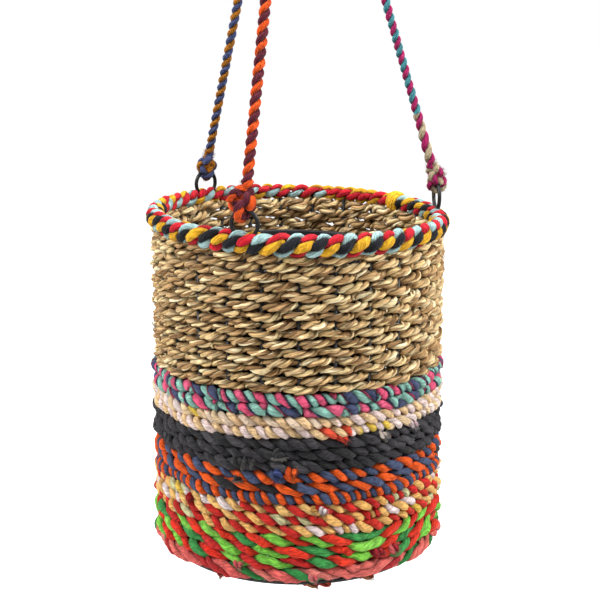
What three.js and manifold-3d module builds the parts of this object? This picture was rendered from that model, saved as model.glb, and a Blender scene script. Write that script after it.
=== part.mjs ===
// Hanging planter: a basket woven round a wire frame, a plastic pot inside it,
// and three ropes that meet in one knot under a hanging ring.
// Millimetres, +Z up. The basket is laid out from the plane of its base hoop, and the
// whole is then let down so that the origin is where the ring hangs on its hook.
// An azimuth is turned from the front (-Y) towards the right (+X).
import * as THREE from 'three';
import { mergeVertices } from 'three/addons/utils/BufferGeometryUtils.js';
import Module from 'manifold-3d';

const wasm = await Module();
wasm.setup();

const degree = Math.PI / 180;
const quarterTurn = 90 * degree;
const fullTurn = 360 * degree;

// Clearances
const seatGap = 0.3;
const weaveGap = 0.45;
const rowGap = 0.5;
const cutOverrun = 3;

// Wire frame: radii of the wires and of the circles that they follow
const stakeCount = 25;
const stakeCircleRadius = 90;
const stakeWire = 1.5;
const hoopWire = 2;
const rimOffset = 2.9;
const baseInset = 6;
const spokePairs = 4;

// Wall: ropes woven in and out of the stakes, one row over the other
const fabricPitch = 7.08;
const fabricWidth = 6;
const seagrassPitch = 5.7;
const seagrassWidth = 5.2;
const firstRowHeight = 9.6;
const climbStakes = 3;
const firstStakeAzimuth = 158.8 * degree;

// Base mat, a flat spiral of rope on the spokes
const matThickness = 9;
const matRows = 9;
const matGroove = 1.6;

// Rim: a thick rope laid over the top hoop, and the strip that binds its two ends
const rimRopeRadius = 7.4;
const wrapAzimuth = 132.5 * degree;
const wrapLength = 13.5;
const wrapThickness = 1.4;
const wrapHalfAngle = 145 * degree;
const wrapBowGap = 0.6;

// Eyes: wire rings that stand on the top hoop, one for each hanging rope
const eyeRadius = 8.5;
const eyeWire = 1.3;

// Hanging ropes, which meet above the middle of the basket
const meetingHeight = 326;
const gatherRadius = 11.5;
const frontRopeRadius = 3.7;
const frontKnotWidth = 17;
const frontKnotHeight = 19;
const frontAzimuth = -20 * degree;
const rightRopeRadius = 3;
const rightKnotWidth = 13;
const rightKnotHeight = 18;
const rightAzimuth = 98 * degree;
const leftRopeRadius = 3.2;
const leftKnotWidth = 15;
const leftKnotHeight = 17;
const leftAzimuth = 223.5 * degree;

// Top knot, loop and ring
const topKnotRadius = 16.5;
const topKnotHeight = 27;
const topKnotCrown = 8;
const loopRadius = 9.2;
const loopRopeRadius = 3.2;
const loopNeck = 6;
const ringRadius = 16;
const ringWire = 2;

// Pot
const potSideGap = 5.05;
const potFootRadius = 52;
const potWall = 1.6;
const potLip = 3;
const potLipDepth = 8;
const potRimDrop = 21;
const potShift = 7;
const drainHoles = 6;
const drainRadius = 5;
const drainCircleRadius = 34;

// Facets
const ringSteps = 50;
const wireSides = 6;
const cordSides = 8;

const baseHoopRadius = stakeCircleRadius - baseInset;
const rimHoopRadius = stakeCircleRadius + rimOffset;
const wallInside = stakeCircleRadius - stakeWire - weaveGap - Math.max(fabricWidth, seagrassWidth);
const potRimRadius = wallInside - potShift - potSideGap;

const hangingSets = [
  { side: 'front', azimuth: frontAzimuth, ropeRadius: frontRopeRadius, knotWidth: frontKnotWidth, knotHeight: frontKnotHeight, color: 0xf05a1c },
  { side: 'right', azimuth: rightAzimuth, ropeRadius: rightRopeRadius, knotWidth: rightKnotWidth, knotHeight: rightKnotHeight, color: 0x4fa0b0 },
  { side: 'left', azimuth: leftAzimuth, ropeRadius: leftRopeRadius, knotWidth: leftKnotWidth, knotHeight: leftKnotHeight, color: 0xc07a2c },
];

const blackWire = new THREE.MeshStandardMaterial({ color: 0x17171a, roughness: 0.38, metalness: 0.5 });
const blackPlastic = new THREE.MeshStandardMaterial({ color: 0x141416, roughness: 0.45, metalness: 0 });
const dyedRope = (color) => new THREE.MeshStandardMaterial({ color, roughness: 0.95, metalness: 0 });

// The wall's ropes from the base up: one long rope each, woven for so many rows.
const wallRopes = [
  { name: 'coral_rope', rows: 1, pitch: fabricPitch, width: fabricWidth, color: 0xe0585c },
  { name: 'green_red_rope', rows: 3, pitch: fabricPitch, width: fabricWidth, color: 0x3c9a4c },
  { name: 'peach_red_rope', rows: 3, pitch: fabricPitch, width: fabricWidth, color: 0xe3a27c },
  { name: 'orange_navy_rope', rows: 3, pitch: fabricPitch, width: fabricWidth, color: 0xe8561e },
  { name: 'black_rope', rows: 3, pitch: fabricPitch, width: fabricWidth, color: 0x2b2b2c },
  { name: 'cream_rope', rows: 2, pitch: fabricPitch, width: fabricWidth, color: 0xf0d6b8 },
  { name: 'pink_teal_rope', rows: 2, pitch: fabricPitch, width: fabricWidth, color: 0xd0567e },
  { name: 'seagrass_rope', rows: 15, pitch: seagrassPitch, width: seagrassWidth, color: 0xc8ae7a },
];

const wallRows = [];
for (const rope of wallRopes) {
  for (let row = 0; row < rope.rows; row++) {
    const below = wallRows.at(-1);
    const height = below ? below.height + (below.pitch + rope.pitch) / 2 : firstRowHeight;
    wallRows.push({ height, pitch: rope.pitch });
  }
}
const topRow = wallRows.at(-1);
const rimHeight = topRow.height + (topRow.pitch + rowGap) / 2 + rimRopeRadius;

const planter = new THREE.Group();

function piece(name, geometry, material, parent = planter) {
  const mesh = new THREE.Mesh(geometry, material);
  mesh.name = name;
  parent.add(mesh);
  return mesh;
}

// Solids for the cuts and joins
function toSolid(geometry) {
  const bare = geometry.clone();
  bare.deleteAttribute('normal');
  bare.deleteAttribute('uv');
  const merged = mergeVertices(bare);
  return new wasm.Manifold(new wasm.Mesh({
    numProp: 3,
    vertProperties: new Float32Array(merged.attributes.position.array),
    triVerts: new Uint32Array(merged.index.array),
  }));
}

function toGeometry(solid) {
  const mesh = solid.getMesh();
  const geometry = new THREE.BufferGeometry();
  geometry.setAttribute('position', new THREE.BufferAttribute(mesh.vertProperties, mesh.numProp));
  geometry.setIndex(new THREE.BufferAttribute(mesh.triVerts, 1));
  geometry.computeVertexNormals();
  return geometry;
}

function onCircle(radius, azimuth, height) {
  return new THREE.Vector3(radius * Math.sin(azimuth), -radius * Math.cos(azimuth), height);
}

// A frame at an azimuth: x outwards, y along the rim, z up.
function stationTurn(azimuth) {
  return azimuth - quarterTurn;
}

// A closed skin over rings of points: each ring runs from outwards to up round its path.
function skinOf(rings) {
  const sides = rings[0].length;
  const points = rings.flat();
  const faces = [];
  for (let ring = 0; ring + 1 < rings.length; ring++) {
    for (let side = 0; side < sides; side++) {
      const here = ring * sides + side;
      const beside = ring * sides + ((side + 1) % sides);
      faces.push(here, here + sides, beside, beside, here + sides, beside + sides);
    }
  }
  const last = (rings.length - 1) * sides;
  for (let side = 1; side + 1 < sides; side++) {
    faces.push(0, side, side + 1, last, last + side + 1, last + side);
  }
  const geometry = new THREE.BufferGeometry().setFromPoints(points);
  geometry.setIndex(faces);
  geometry.computeVertexNormals();
  return geometry;
}

// A closed outline, given from outwards to up, turned once round the upright axis.
function turnedRing(outline, steps = ringSteps) {
  const closed = [...outline, outline[0]];
  return new THREE.LatheGeometry(closed, steps).rotateX(quarterTurn);
}

// Stakes: upright wires whose feet bend in to meet the base hoop
const footBend = 45 * degree;
const footRadius = 2 * baseInset;
const footReach = (baseInset - footRadius * (1 - Math.cos(footBend))) / Math.sin(footBend);
const footHeight = footReach * Math.cos(footBend) + footRadius * Math.sin(footBend);
const stakeTop = rimHeight - hoopWire;

function stakeRadiusAt(height) {
  const drop = Math.min(Math.max(footHeight - height, 0), footRadius * Math.sin(footBend));
  return stakeCircleRadius - footRadius + Math.sqrt(footRadius ** 2 - drop ** 2);
}

function stakeGeometry() {
  const route = [];
  const seat = hoopWire + seatGap;
  route.push([baseHoopRadius + seat * Math.sin(footBend), seat * Math.cos(footBend), footBend]);
  const bendSteps = 2;
  for (let step = bendSteps; step >= 0; step--) {
    const bend = footBend * step / bendSteps;
    const inwards = footRadius * (1 - Math.cos(bend));
    route.push([stakeCircleRadius - inwards, footHeight - footRadius * Math.sin(bend), bend]);
  }
  route.push([stakeCircleRadius, stakeTop, 0]);
  return skinOf(route.map(([radius, height, lean]) => {
    const ring = [];
    for (let side = 0; side < wireSides; side++) {
      const turn = fullTurn * side / wireSides;
      const across = stakeWire * Math.sin(turn);
      const along = stakeWire * Math.cos(turn);
      ring.push(new THREE.Vector3(radius + across * Math.cos(lean), along, height - across * Math.sin(lean)));
    }
    return ring;
  }));
}

for (let stake = 0; stake < stakeCount; stake++) {
  const name = `stake_${String(stake + 1).padStart(2, '0')}`;
  const wire = piece(name, stakeGeometry(), blackWire);
  wire.rotation.z = stationTurn(firstStakeAzimuth + fullTurn * stake / stakeCount);
}

// Hoops
const topHoop = new THREE.TorusGeometry(rimHoopRadius, hoopWire, wireSides, ringSteps);
piece('top_hoop', topHoop, blackWire).position.z = rimHeight;
piece('base_hoop', new THREE.TorusGeometry(baseHoopRadius, hoopWire, wireSides, ringSteps), blackWire);

// Base spokes: straight wires welded across each other inside the base hoop
function spokeStar(radius, reach) {
  let star = null;
  for (let pair = 0; pair < spokePairs; pair++) {
    const wire = new THREE.CylinderGeometry(radius, radius, 2 * reach, wireSides);
    const solid = toSolid(wire.rotateZ(Math.PI * pair / spokePairs));
    star = star ? star.add(solid) : solid;
  }
  return star;
}

const spokeReach = baseHoopRadius - hoopWire - seatGap;
piece('base_spokes', toGeometry(spokeStar(stakeWire, spokeReach)), blackWire);

// Base mat: rows of rope round the middle, with the spokes running through it
function matGeometry() {
  const matRadius = baseHoopRadius - hoopWire - seatGap;
  const top = matThickness / 2;
  const rowWidth = matRadius / matRows;
  const outline = [new THREE.Vector2(0, -top)];
  for (let row = 1; row < matRows; row++) {
    outline.push(new THREE.Vector2(rowWidth * (row - 0.25), -top));
    outline.push(new THREE.Vector2(rowWidth * row, matGroove - top));
  }
  outline.push(new THREE.Vector2(matRadius - matGroove, -top));
  outline.push(new THREE.Vector2(matRadius, matGroove - top));
  outline.push(new THREE.Vector2(matRadius, top - matGroove));
  outline.push(new THREE.Vector2(matRadius - matGroove, top));
  outline.push(new THREE.Vector2(0, top));
  const disc = new THREE.LatheGeometry(outline, ringSteps / 2).rotateX(quarterTurn);
  return toGeometry(toSolid(disc).subtract(spokeStar(stakeWire + seatGap, matRadius + cutOverrun)));
}

piece('base_mat', matGeometry(), dyedRope(0xc8402c));

// Wall ropes. A place along the weave is counted in stakes: at each whole number the rope
// passes a stake, outside and inside by turns, and each turn it climbs to the next row
// behind the basket. An odd number of stakes puts each row against the one below it.
function weavePlace(count, rope) {
  const row = Math.floor(count / stakeCount);
  const stake = count - row * stakeCount;
  const here = wallRows[Math.min(row, wallRows.length - 1)].height;
  const below = row > 0 ? wallRows[row - 1].height : here;
  const height = below + (here - below) * Math.min(stake / climbStakes, 1);
  const half = (rope.pitch - rowGap) / 2;
  const aside = stakeWire + weaveGap + rope.width / 2;
  const outside = count % 2 === 0;
  const radius = outside ? stakeRadiusAt(height + half) + aside : stakeRadiusAt(height - half) - aside;
  return { radius, height };
}

function wovenRope(rope, firstRow) {
  const endGap = seatGap * stakeCount / (fullTurn * stakeCircleRadius);
  const start = firstRow === 0 ? climbStakes : firstRow * stakeCount - 0.5 + endGap;
  const end = (firstRow + rope.rows) * stakeCount - 0.5 - endGap;
  const stops = [start];
  for (let count = Math.floor(start) + 1; count < end; count++) stops.push(count);
  stops.push(end);
  const wide = rope.width / 2;
  const tall = (rope.pitch - rowGap) / 2;
  const section = [[wide, 0], [wide / 2, tall], [-wide / 2, tall], [-wide, 0], [-wide / 2, -tall], [wide / 2, -tall]];
  return skinOf(stops.map((count) => {
    const from = weavePlace(Math.floor(count), rope);
    const to = weavePlace(Math.ceil(count), rope);
    const share = count - Math.floor(count);
    const radius = from.radius + (to.radius - from.radius) * share;
    const height = from.height + (to.height - from.height) * share;
    const azimuth = firstStakeAzimuth + fullTurn * count / stakeCount;
    return section.map(([out, up]) => onCircle(radius + out, azimuth, height + up));
  }));
}

let rowsBelow = 0;
for (const rope of wallRopes) {
  piece(rope.name, wovenRope(rope, rowsBelow), dyedRope(rope.color));
  rowsBelow += rope.rows;
}

// Rim rope: open along its underside, where it sits on the hoop and the stakes' tops
const eyeHeight = rimHeight + hoopWire + seatGap + eyeWire + eyeRadius;

function rimRopeGeometry() {
  const channelOuter = rimHoopRadius + hoopWire + seatGap;
  const channelInner = stakeCircleRadius - stakeWire - seatGap;
  const channelTop = rimHeight + hoopWire + seatGap;
  const outerAngle = -Math.acos((channelOuter - rimHoopRadius) / rimRopeRadius);
  const innerAngle = fullTurn - Math.acos((channelInner - rimHoopRadius) / rimRopeRadius);
  const arcSteps = 8;
  const outline = [];
  for (let step = 0; step <= arcSteps; step++) {
    const angle = outerAngle + (innerAngle - outerAngle) * step / arcSteps;
    outline.push(new THREE.Vector2(
      rimHoopRadius + rimRopeRadius * Math.cos(angle),
      rimHeight + rimRopeRadius * Math.sin(angle),
    ));
  }
  outline.push(new THREE.Vector2(channelInner, channelTop));
  outline.push(new THREE.Vector2(channelOuter, channelTop));
  let rope = toSolid(turnedRing(outline));
  const slotLength = 2 * (eyeRadius + eyeWire + seatGap);
  const slotWidth = 2 * (eyeWire + seatGap);
  const slotTop = rimHeight + rimRopeRadius + cutOverrun;
  const slotBottom = channelTop - seatGap;
  for (const set of hangingSets) {
    const slot = new THREE.BoxGeometry(slotWidth, slotLength, slotTop - slotBottom);
    slot.translate(rimHoopRadius, 0, (slotTop + slotBottom) / 2);
    slot.rotateZ(stationTurn(set.azimuth));
    rope = rope.subtract(toSolid(slot));
  }
  return toGeometry(rope);
}

piece('rim_rope', rimRopeGeometry(), dyedRope(0x9cc4c8));

// Rim wrap: a strip bound round the rope, over its top and down both sides
function wrapGeometry() {
  const inner = rimRopeRadius + wrapBowGap;
  const outer = inner + wrapThickness;
  const strip = new THREE.Shape();
  strip.absarc(0, 0, outer, quarterTurn - wrapHalfAngle, quarterTurn + wrapHalfAngle, false);
  strip.absarc(0, 0, inner, quarterTurn + wrapHalfAngle, quarterTurn - wrapHalfAngle, true);
  const band = new THREE.ExtrudeGeometry(strip, { depth: wrapLength, curveSegments: 9, bevelEnabled: false });
  band.translate(0, 0, -wrapLength / 2).rotateX(quarterTurn);
  return band.translate(rimHoopRadius, 0, rimHeight);
}

piece('rim_wrap', wrapGeometry(), dyedRope(0xf0b428)).rotation.z = stationTurn(wrapAzimuth);

// Hanging ropes: each leaves a knot on its eye and leans in to the meeting point
const eyeTop = eyeHeight + eyeRadius;
const meetingPoint = rimHeight + meetingHeight;
const lean = Math.atan2(rimHoopRadius, meetingPoint - eyeTop);
const gatherHeight = meetingPoint - gatherRadius / Math.tan(lean);

// The knot grips the top of its eye: a bight of rope round the wire, and the knot over it.
function ropeKnot(set) {
  const bightRadius = eyeWire + seatGap + set.ropeRadius;
  const knotRaise = set.knotHeight / 2 - eyeWire;
  const ball = new THREE.SphereGeometry(set.knotWidth / 2, 10, 7).rotateX(quarterTurn);
  ball.scale(1, 1, set.knotHeight / set.knotWidth).translate(0, 0, knotRaise);
  const bight = new THREE.TorusGeometry(bightRadius, set.ropeRadius, wireSides, 12).rotateX(quarterTurn);
  const tools = new THREE.BoxGeometry(set.knotWidth, set.knotWidth, set.knotHeight);
  tools.translate(0, 0, knotTopOf(set) + set.knotHeight / 2);
  const wire = new THREE.TorusGeometry(eyeRadius, eyeWire + seatGap, wireSides, 24).rotateY(quarterTurn);
  wire.translate(0, 0, -eyeRadius).rotateY(lean);
  const solid = toSolid(ball).add(toSolid(bight)).subtract(toSolid(tools)).subtract(toSolid(wire));
  return toGeometry(solid);
}

// The knot's flat top, where it is as wide as the rope that leaves it.
function knotTopOf(set) {
  const ropeShare = 1.15 * set.ropeRadius / (set.knotWidth / 2);
  return set.knotHeight / 2 - eyeWire + set.knotHeight / 2 * Math.sqrt(1 - ropeShare ** 2);
}

function hangingRope(set) {
  const along = knotTopOf(set) + seatGap;
  const foot = new THREE.Vector3(rimHoopRadius - along * Math.sin(lean), 0, eyeTop + along * Math.cos(lean));
  const head = new THREE.Vector3(gatherRadius, 0, gatherHeight);
  const section = new THREE.Shape();
  section.absarc(0, 0, set.ropeRadius, 0, fullTurn, false);
  const run = new THREE.LineCurve3(foot, head);
  const steps = Math.round(run.getLength() / (5 * set.ropeRadius));
  return new THREE.ExtrudeGeometry(section, { steps, extrudePath: run, curveSegments: cordSides / 2 });
}

for (const set of hangingSets) {
  const station = new THREE.Group();
  station.rotation.z = stationTurn(set.azimuth);
  planter.add(station);
  const eye = new THREE.TorusGeometry(eyeRadius, eyeWire, wireSides, 24).rotateY(quarterTurn);
  piece(`eye_ring_${set.side}`, eye, blackWire, station).position.set(rimHoopRadius, 0, eyeHeight);
  const knot = piece(`rope_knot_${set.side}`, ropeKnot(set), dyedRope(set.color), station);
  knot.position.set(rimHoopRadius, 0, eyeTop);
  knot.rotation.y = -lean;
  piece(`hanging_rope_${set.side}`, hangingRope(set), dyedRope(set.color), station);
}

// Top knot: the three ropes tied together, square to each rope where it enters
const knotFace = gatherHeight + seatGap / Math.cos(lean);
const topKnotTop = knotFace + topKnotHeight;

function topKnotGeometry() {
  const slope = Math.tan(lean);
  const shoulder = topKnotRadius - topKnotCrown;
  const outline = [
    new THREE.Vector2(0, knotFace - gatherRadius * slope),
    new THREE.Vector2(topKnotRadius, knotFace + (topKnotRadius - gatherRadius) * slope),
    new THREE.Vector2(topKnotRadius, topKnotTop - topKnotCrown),
    new THREE.Vector2(topKnotRadius - topKnotCrown * (1 - Math.cos(footBend)), topKnotTop - topKnotCrown * (1 - Math.sin(footBend))),
    new THREE.Vector2(shoulder, topKnotTop),
    new THREE.Vector2(0, topKnotTop),
  ];
  return new THREE.LatheGeometry(outline, 20).rotateX(quarterTurn);
}

piece('top_knot', topKnotGeometry(), dyedRope(0x7c4a52));

// Hanging loop: a bight of rope through the ring, on a short neck above the knot
const neckFoot = topKnotTop + seatGap;
const loopHeight = neckFoot + loopNeck + loopRadius;
const ringFoot = loopHeight + loopRadius - loopRopeRadius - seatGap - ringWire;
const ringHeight = ringFoot + ringRadius;
const hangPoint = ringHeight + ringRadius - ringWire;

function loopGeometry() {
  const bight = new THREE.TorusGeometry(loopRadius, loopRopeRadius, cordSides, 20).rotateY(quarterTurn);
  bight.translate(0, 0, loopHeight);
  const neck = new THREE.CylinderGeometry(loopRopeRadius, loopRopeRadius, loopNeck, cordSides);
  neck.rotateX(quarterTurn).translate(0, 0, neckFoot + loopNeck / 2);
  return toGeometry(toSolid(bight).add(toSolid(neck)));
}

piece('hanging_loop', loopGeometry(), dyedRope(0xc07a2c));

const ring = new THREE.TorusGeometry(ringRadius, ringWire, wireSides, 30).rotateX(quarterTurn);
piece('hanging_ring', ring, blackWire).position.z = ringHeight;

// Pot: thin-walled, with a turned-out lip and drain holes, standing on the base mat
function potGeometry() {
  const foot = matThickness / 2 + seatGap;
  const rim = rimHeight - potRimDrop;
  const wallTop = potRimRadius - potLip;
  const outline = [
    new THREE.Vector2(0, foot),
    new THREE.Vector2(potFootRadius, foot),
    new THREE.Vector2(wallTop, rim - potLipDepth),
    new THREE.Vector2(potRimRadius, rim - potLipDepth),
    new THREE.Vector2(potRimRadius, rim),
    new THREE.Vector2(wallTop - potWall, rim),
    new THREE.Vector2(potFootRadius - potWall, foot + potWall),
    new THREE.Vector2(0, foot + potWall),
  ];
  let pot = toSolid(new THREE.LatheGeometry(outline, ringSteps).rotateX(quarterTurn));
  for (let hole = 0; hole < drainHoles; hole++) {
    const depth = potWall + 2 * cutOverrun;
    const drill = new THREE.CylinderGeometry(drainRadius, drainRadius, depth, cordSides);
    drill.rotateX(quarterTurn).translate(drainCircleRadius, 0, foot + potWall / 2);
    pot = pot.subtract(toSolid(drill.rotateZ(fullTurn * hole / drainHoles)));
  }
  return toGeometry(pot);
}

piece('plant_pot', potGeometry(), blackPlastic).position.x = -potShift;

planter.position.z = -hangPoint;

const hung = new THREE.Group();
hung.add(planter);

export default hung;
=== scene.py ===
# Hanging planter: seagrass and cotton ropes woven round a wire frame, a plastic pot
# inside, and three ropes that meet under a ring. Shapes are worked out in millimetres
# above the base hoop; hung() turns them into the frame's metres below the hook.
# An azimuth is turned from the front (-Y) towards the right (+X).
import math

import bpy
import numpy as np
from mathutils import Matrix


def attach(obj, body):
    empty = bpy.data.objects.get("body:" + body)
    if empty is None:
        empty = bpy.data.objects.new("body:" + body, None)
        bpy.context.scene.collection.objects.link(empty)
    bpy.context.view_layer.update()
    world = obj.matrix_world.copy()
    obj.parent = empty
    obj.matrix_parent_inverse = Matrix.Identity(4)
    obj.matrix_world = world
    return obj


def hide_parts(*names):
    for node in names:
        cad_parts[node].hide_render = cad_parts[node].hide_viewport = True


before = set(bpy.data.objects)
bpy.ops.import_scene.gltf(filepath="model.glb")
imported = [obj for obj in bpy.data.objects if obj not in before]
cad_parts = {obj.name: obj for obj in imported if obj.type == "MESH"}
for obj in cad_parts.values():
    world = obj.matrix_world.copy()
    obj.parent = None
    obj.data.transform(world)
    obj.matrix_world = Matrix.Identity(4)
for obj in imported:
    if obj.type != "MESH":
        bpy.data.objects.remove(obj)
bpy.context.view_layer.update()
print("frame loaded:", len(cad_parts), "nodes")

fullTurn = 2 * math.pi
hangHeight = 584.278  # the hook above the base hoop


def hung(points):
    # metres below the hook = millimetres above the base hoop, let down by the hang height
    return (np.asarray(points, float) - (0, 0, hangHeight)) / 1000


# Camera
view = {"lens": 92.36, "sensor": 36, "place": (0, -0.9941, -0.1825), "pitch": 76.55, "shift": 0.004}
lensData = bpy.data.cameras.new("productCamera")
lensData.lens = view["lens"]
lensData.sensor_width = view["sensor"]
lensData.shift_x = view["shift"]
camera = bpy.data.objects.new("productCamera", lensData)
camera.location = view["place"]
camera.rotation_euler = (math.radians(view["pitch"]), 0, 0)
bpy.context.scene.collection.objects.link(camera)
bpy.context.scene.camera = camera
bpy.context.scene.view_settings.view_transform = "Standard"


# Shader maths written as expressions
class Signal:
    def __init__(self, finish, socket):
        self.finish, self.socket = finish, socket

    def _maths(self, operation, *values):
        return self.finish.add("ShaderNodeMath", {"operation": operation}, dict(enumerate(values)))

    def __add__(self, other):
        return self._maths("ADD", self, other)

    def __sub__(self, other):
        return self._maths("SUBTRACT", self, other)

    def __rsub__(self, other):
        return self._maths("SUBTRACT", other, self)

    def __mul__(self, other):
        return self._maths("MULTIPLY", self, other)

    def __pow__(self, other):
        return self._maths("POWER", self, other)

    __radd__, __rmul__ = __add__, __mul__

    def fraction(self):
        return self._maths("FRACT", self)

    def whole(self):
        return self._maths("FLOOR", self)

    def size(self):
        return self._maths("ABSOLUTE", self)

    def clamped(self):
        return self.finish.add("ShaderNodeMath", {"operation": "ADD", "use_clamp": True}, {0: self, 1: 0})


class Finish:
    def __init__(self, name, **constants):
        self.material = bpy.data.materials.new(name)
        self.material.use_nodes = True
        self.nodes = self.material.node_tree.nodes
        self.links = self.material.node_tree.links
        self.shader = self.nodes["Principled BSDF"]
        for socket, value in constants.items():
            self.shader.inputs[socket.replace("_", " ")].default_value = value

    def add(self, kind, settings=None, values=None, output=0):
        node = self.nodes.new(kind)
        for name, value in (settings or {}).items():
            if name == "stops":
                ramp = node.color_ramp
                while len(ramp.elements) < len(value):
                    ramp.elements.new(0.5)
                for stop, (place, colour) in zip(ramp.elements, value):
                    stop.position, stop.color = place, (*colour, 1)
            else:
                setattr(node, name, value)
        for socket, value in (values or {}).items():
            self.feed(node.inputs[socket], value)
        return Signal(self, node.outputs[output])

    def feed(self, socket, value):
        if isinstance(value, Signal):
            self.links.new(value.socket, socket)
        else:
            socket.default_value = value

    def surface(self, socket, value):
        self.feed(self.shader.inputs[socket], value)

    def coordinates(self, stretch, source, slant):
        if source == "Object":
            place = self.add("ShaderNodeTexCoord", output="Object")
        else:
            place = self.add("ShaderNodeUVMap", {"uv_map": source})
        if slant:
            place = self.add("ShaderNodeMapping", {}, {"Vector": place, "Rotation": (0, 0, slant)})
        return self.add("ShaderNodeMapping", {}, {"Vector": place, "Scale": stretch})

    def noise(self, stretch, detail=2.0, source="Object", slant=0.0):
        place = self.coordinates(stretch, source, slant)
        return self.add("ShaderNodeTexNoise", {}, {"Vector": place, "Scale": 1.0, "Detail": detail})

    def shaded(self, colour, amount):
        # a colour times a number, which keeps its hue
        return self.add("ShaderNodeVectorMath", {"operation": "SCALE"}, {0: colour, "Scale": amount})

    def bump(self, height, strength, distance):
        return self.add("ShaderNodeBump", {}, {"Height": height, "Strength": strength, "Distance": distance})


def dye(code):
    # linear colour of an sRGB hex code
    shares = np.array([int(code[i:i + 2], 16) for i in (0, 2, 4)]) / 255
    return np.where(shares <= 0.04045, shares / 12.92, ((shares + 0.055) / 1.055) ** 2.4)


# Meshes. A tube is an array of rings by sides, or of pieces by rings by sides. Its UV map, lay,
# holds along and around, and its attributes hold a colour and a leaf's number for each point.
def tube(points, colour=None, along=None, around=None, leaf=None, closed=False):
    points = np.asarray(points, float)
    if points.ndim == 3:
        points = points[None]
    pieces, rings, sides, _ = points.shape
    steps = rings if closed else rings - 1
    piece, ring, side = np.meshgrid(np.arange(pieces), np.arange(steps), np.arange(sides), indexing="ij")
    nextRing, nextSide = (ring + 1) % rings, (side + 1) % sides
    index = lambda r, s: (piece * rings + r) * sides + s
    quads = np.stack([index(ring, side), index(ring, nextSide),
                      index(nextRing, nextSide), index(nextRing, side)], -1)
    if along is None:
        along = np.arange(rings + 1.0)
    along = np.broadcast_to(along, (pieces, len(along)))
    if along.shape[1] == rings:
        along = np.concatenate([along, 2 * along[:, -1:] - along[:, -2:-1]], 1)
    around = np.linspace(0, 1, sides + 1) if around is None else around
    around = np.broadcast_to(around, (rings, sides + 1))
    place = lambda u, r, s: np.stack([u, around[r, s]], -1)
    here, ahead = along[piece, ring], along[piece, ring + 1]
    uv = np.stack([place(here, ring, side), place(here, ring, side + 1),
                   place(ahead, nextRing, side + 1), place(ahead, nextRing, side)], -2)
    corners, totals, places = [quads.reshape(-1)], [np.full(quads.size // 4, 4)], [uv.reshape(-1, 2)]
    if not closed:
        first = (np.arange(pieces)[:, None] * rings) * sides + np.arange(sides)[::-1]
        last = (np.arange(pieces)[:, None] * rings + rings - 1) * sides + np.arange(sides)
        for cap in (first, last):
            corners.append(cap.reshape(-1))
            totals.append(np.full(pieces, sides))
            places.append(np.zeros((cap.size, 2)))
    if colour is None:
        colour = np.ones(3)
    colour = np.asarray(colour, float)
    if colour.ndim == 2:
        colour = colour[None, :, None, :]
    elif colour.ndim == 3:
        colour = colour[None]
    size = (pieces, rings, sides)
    return {
        "points": points.reshape(-1, 3), "corners": np.concatenate(corners), "totals": np.concatenate(totals),
        "uv": np.concatenate(places), "colour": np.broadcast_to(colour, (*size, 3)).reshape(-1, 3),
        "leaf": np.broadcast_to(0.0 if leaf is None else leaf, size).reshape(-1),
    }


def makePiece(name, parts, finish, body="planter", stands=()):
    mesh = bpy.data.meshes.new(name)
    sizes = np.cumsum([0] + [len(part["points"]) for part in parts])
    points = hung(np.concatenate([part["points"] for part in parts]))
    corners = np.concatenate([part["corners"] + start for part, start in zip(parts, sizes)])
    totals = np.concatenate([part["totals"] for part in parts])
    mesh.vertices.add(len(points))
    mesh.vertices.foreach_set("co", points.astype(np.float32).reshape(-1))
    mesh.loops.add(len(corners))
    mesh.loops.foreach_set("vertex_index", corners.astype(np.int32))
    mesh.polygons.add(len(totals))
    mesh.polygons.foreach_set("loop_start", (np.cumsum(totals) - totals).astype(np.int32))
    mesh.polygons.foreach_set("loop_total", totals.astype(np.int32))
    mesh.polygons.foreach_set("use_smooth", np.ones(len(totals), bool))
    places = np.concatenate([part["uv"] for part in parts]).astype(np.float32)
    mesh.uv_layers.new(name="lay").data.foreach_set("uv", places.reshape(-1))
    colours = np.concatenate([part["colour"] for part in parts])
    dyes = mesh.attributes.new("dye", "FLOAT_COLOR", "POINT")
    dyes.data.foreach_set("color", np.c_[colours, np.ones(len(colours))].astype(np.float32).reshape(-1))
    leaves = mesh.attributes.new("leaf", "FLOAT", "POINT")
    leaves.data.foreach_set("value", np.concatenate([part["leaf"] for part in parts]).astype(np.float32))
    mesh.update(calc_edges=True)
    mesh.validate()
    mesh.materials.append(finish.material)
    piece = bpy.data.objects.new(name, mesh)
    bpy.context.scene.collection.objects.link(piece)
    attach(piece, body)
    if stands:
        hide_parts(*stands)
    print(f"{name}: {int((totals - 2).sum())} triangles")
    return piece


# Paths
def unit(vectors):
    return vectors / np.linalg.norm(vectors, axis=-1, keepdims=True)


def frameAlong(path, towards):
    # outwards = the given direction made square to the path, upwards = path crossed with outwards
    ahead = unit(np.gradient(path, axis=-2))
    towards = np.broadcast_to(towards, path.shape)
    out = unit(towards - ahead * (towards * ahead).sum(-1, keepdims=True))
    return out, np.cross(ahead, out)


def lengthAlong(path):
    steps = np.linalg.norm(np.diff(path, axis=-2), axis=-1)
    return np.concatenate([np.zeros(steps.shape[:-1] + (1,)), np.cumsum(steps, -1)], -1)


def onCircle(radius, azimuth, height):
    radius, azimuth, height = np.broadcast_arrays(radius, azimuth, height)
    return np.stack([radius * np.sin(azimuth), -radius * np.cos(azimuth), height], -1)


def outwardsAt(azimuth):
    return onCircle(1.0, azimuth, 0.0)


def ripple(place, period, seed):
    # five sines of about that period, with seeded phases, between about -1 and 1
    draw = np.random.default_rng(seed)
    waves = draw.uniform(0.6, 1.7, 5) * fullTurn / period
    phases = draw.uniform(0, fullTurn, 5)
    return np.sin(np.multiply.outer(place, waves) + phases).mean(-1) * 1.6


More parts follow.
